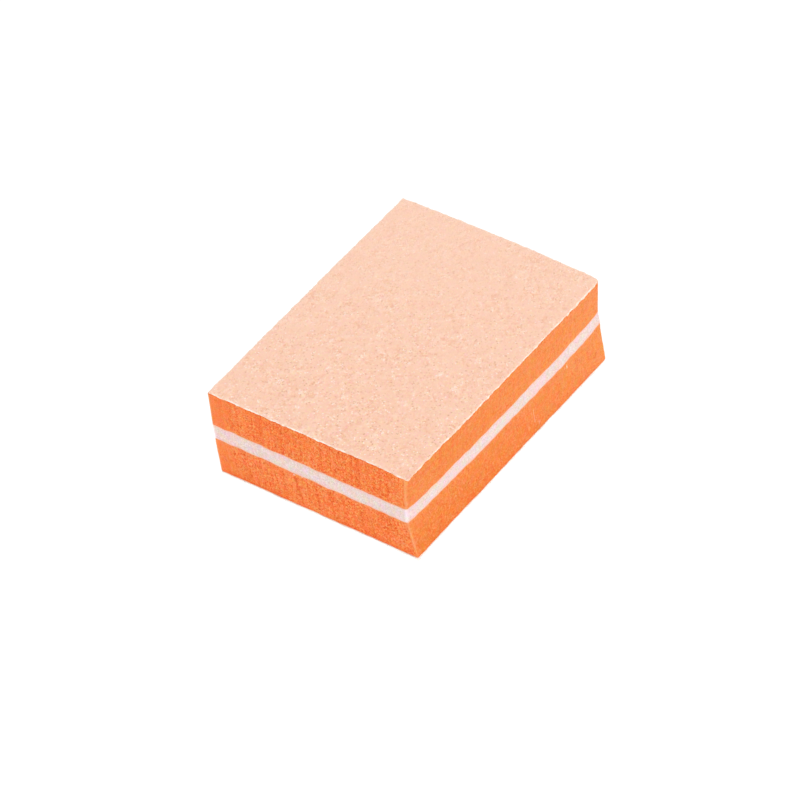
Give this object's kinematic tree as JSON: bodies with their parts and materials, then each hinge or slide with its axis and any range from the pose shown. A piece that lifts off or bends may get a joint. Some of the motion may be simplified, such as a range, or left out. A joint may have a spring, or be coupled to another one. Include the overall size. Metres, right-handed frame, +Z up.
{
  "type": "nail buffer block",
  "caption": "Small rectangular hand-held nail buffer: abrasive paper on both broad faces, bonded to orange foam pads on a white plastic core, with cut side walls that draw in slightly.",
  "frame": {"origin": "centre of the block's bounding box on the plane of the lower abrasive face, which it rests on", "axes": "+X along the block's length, +Y across its width, +Z up through the laminate from the lower abrasive face to the upper one"},
  "size_m": [0.0354, 0.0254, 0.0116],
  "materials": {
    "grit_coat": "matte",
    "paper_backing": "matte",
    "adhesive": "satin",
    "foam": "matte",
    "core": "satin"
  },
  "bodies": {
    "root": {"lower_grit_coat": "grit_coat", "lower_paper_backing": "paper_backing", "lower_paper_adhesive": "adhesive", "lower_foam_pad": "foam", "lower_core_adhesive": "adhesive", "core_board": "core", "upper_core_adhesive": "adhesive", "upper_foam_pad": "foam", "upper_paper_adhesive": "adhesive", "upper_paper_backing": "paper_backing", "upper_grit_coat": "grit_coat"}
  },
  "joints": []
}
